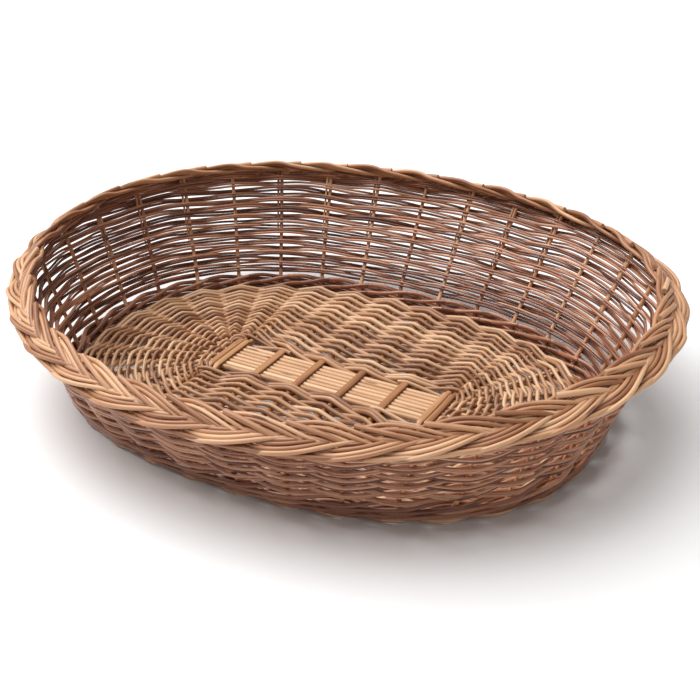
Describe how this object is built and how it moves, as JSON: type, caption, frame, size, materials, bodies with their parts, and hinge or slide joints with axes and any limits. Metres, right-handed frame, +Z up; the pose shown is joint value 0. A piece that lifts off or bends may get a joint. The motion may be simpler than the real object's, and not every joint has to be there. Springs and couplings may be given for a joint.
{
  "type": "woven willow pet bed basket",
  "caption": "Oval willow basket that a dog or cat lies in: woven base, sloping randed wall with a lower front, thick plaited border",
  "frame": {"origin": "on the floor, under the middle of the basket's overall length and width", "axes": "+X along the length, to the right when the low front faces the viewer; +Y to the high back; +Z up"},
  "size_m": [0.7065, 0.5827, 0.1472],
  "materials": {
    "peeled_willow": "satin, peeled white willow",
    "buff_willow": "satin, buff willow rods",
    "olive_willow": "matte, willow with its bark on",
    "steamed_willow": "satin, steamed red-brown willow rods",
    "border_willow": "satin, light tan willow rods"
  },
  "bodies": {
    "root": {"foot_ring": "border_willow", "long_stick_1": "peeled_willow", "long_stick_2": "peeled_willow", "long_stick_3": "peeled_willow", "long_stick_4": "peeled_willow", "long_stick_5": "peeled_willow", "long_stick_6": "peeled_willow", "long_stick_7": "peeled_willow", "long_stick_8": "peeled_willow", "cross_stick_1": "olive_willow", "cross_stick_2": "olive_willow", "cross_stick_3": "olive_willow", "cross_stick_4": "olive_willow", "cross_pair_left_outer": "olive_willow", "cross_pair_left_inner": "olive_willow", "cross_pair_right_inner": "olive_willow", "cross_pair_right_outer": "olive_willow", "base_row_01": "buff_willow", "base_row_02": "buff_willow", "base_row_03": "buff_willow", "base_row_04": "buff_willow", "base_row_05": "buff_willow", "base_row_06": "buff_willow", "base_row_07": "buff_willow", "base_row_08": "buff_willow", "base_row_09": "buff_willow", "base_row_10": "buff_willow", "base_row_11": "buff_willow", "base_row_12": "buff_willow", "base_row_13": "buff_willow", "wale_rod_1": "steamed_willow", "wale_rod_2": "steamed_willow", "wale_rod_3": "steamed_willow", "side_stakes": "border_willow", "bye_stakes": "peeled_willow", "course_01": "steamed_willow", "course_02": "steamed_willow", "course_03": "steamed_willow", "course_04": "steamed_willow", "course_05": "steamed_willow", "course_06": "steamed_willow", "course_07": "steamed_willow", "course_08": "steamed_willow", "course_09": "steamed_willow", "course_10": "steamed_willow", "course_11": "steamed_willow", "course_12": "steamed_willow", "course_13": "steamed_willow", "course_14": "steamed_willow", "course_15": "steamed_willow", "course_16": "steamed_willow", "course_17": "steamed_willow", "course_18": "steamed_willow", "rim_row": "steamed_willow", "border_strand_a": "border_willow", "border_strand_b": "border_willow", "border_strand_c": "border_willow"}
  },
  "joints": []
}
